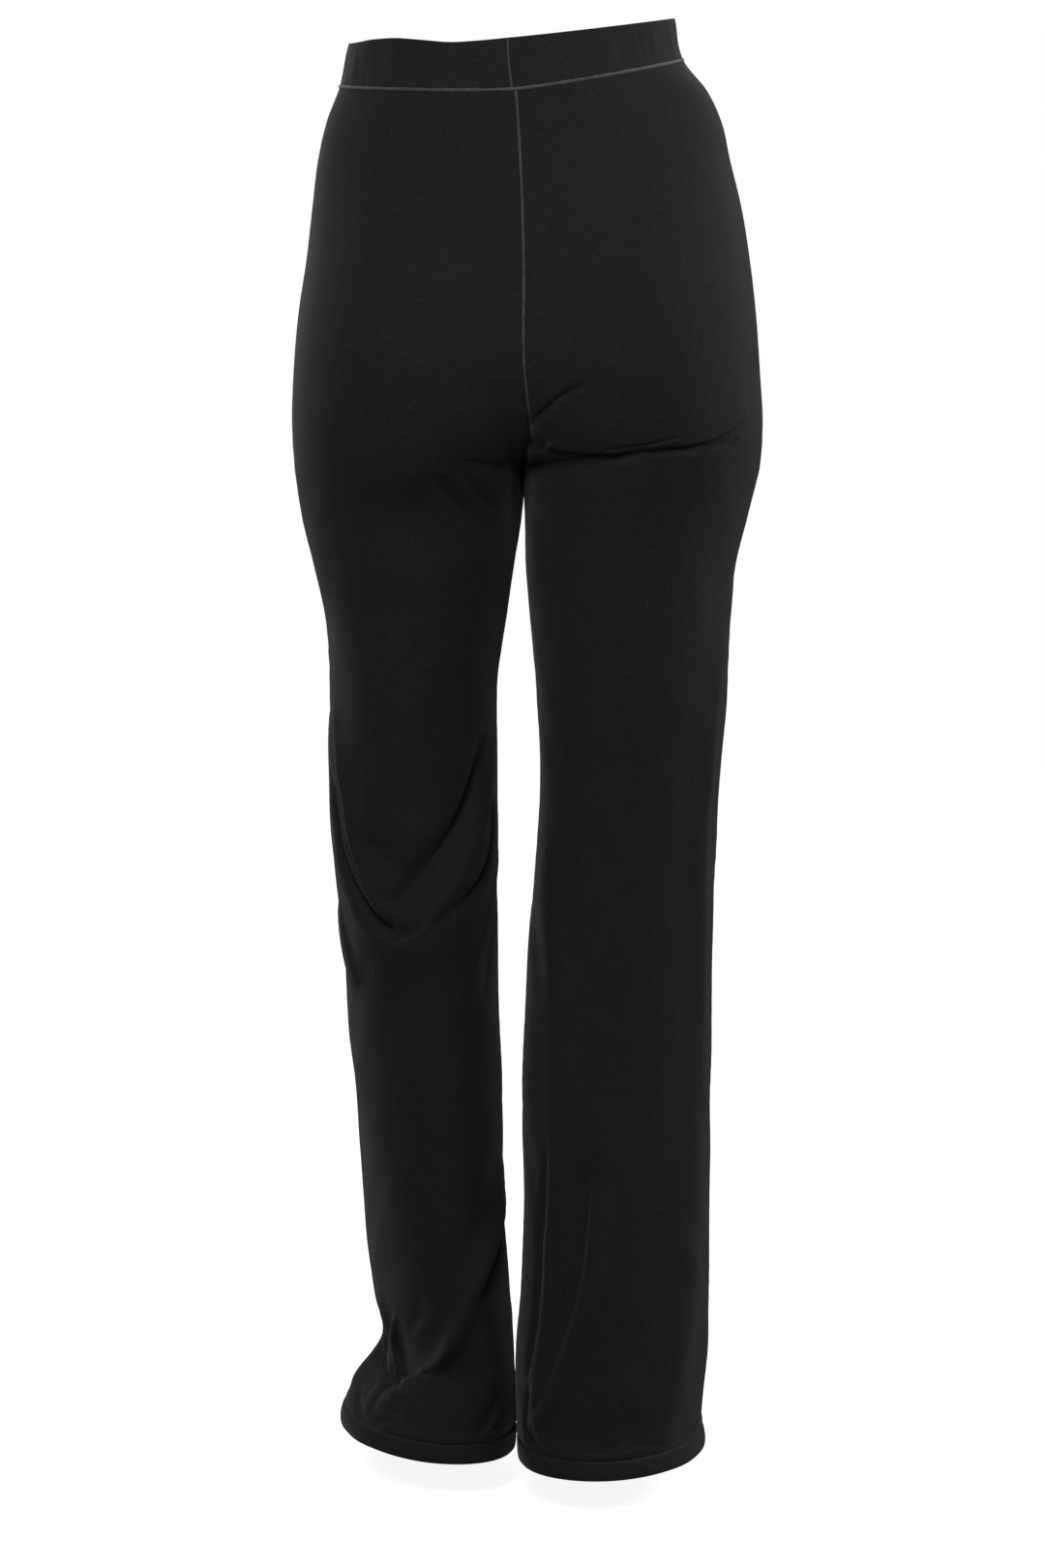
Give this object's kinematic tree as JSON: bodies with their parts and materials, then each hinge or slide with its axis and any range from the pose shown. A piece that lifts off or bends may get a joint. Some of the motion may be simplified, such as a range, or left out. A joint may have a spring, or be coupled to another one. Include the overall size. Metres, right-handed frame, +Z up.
{
  "type": "bell-bottom trousers",
  "caption": "High-waisted pull-on trousers in black jersey with bell-bottom legs, worn and hollow, one knee bent.",
  "frame": {"origin": "middle of the waistband's ring, where the wearer holds the trousers up", "axes": "+Z up, -Y to the garment's front, +X to the wearer's left"},
  "size_m": [0.3605, 0.3091, 1.1171],
  "materials": {
    "jersey": "matt black fine jersey with a soft sheen towards its edges",
    "waistband": "black jersey folded over elastic, slightly duller"
  },
  "bodies": {
    "root": {"waistband": "waistband", "back_left": "jersey", "back_right": "jersey", "front_left": "jersey", "front_right": "jersey", "hem_left": "jersey", "hem_right": "jersey"}
  },
  "joints": []
}
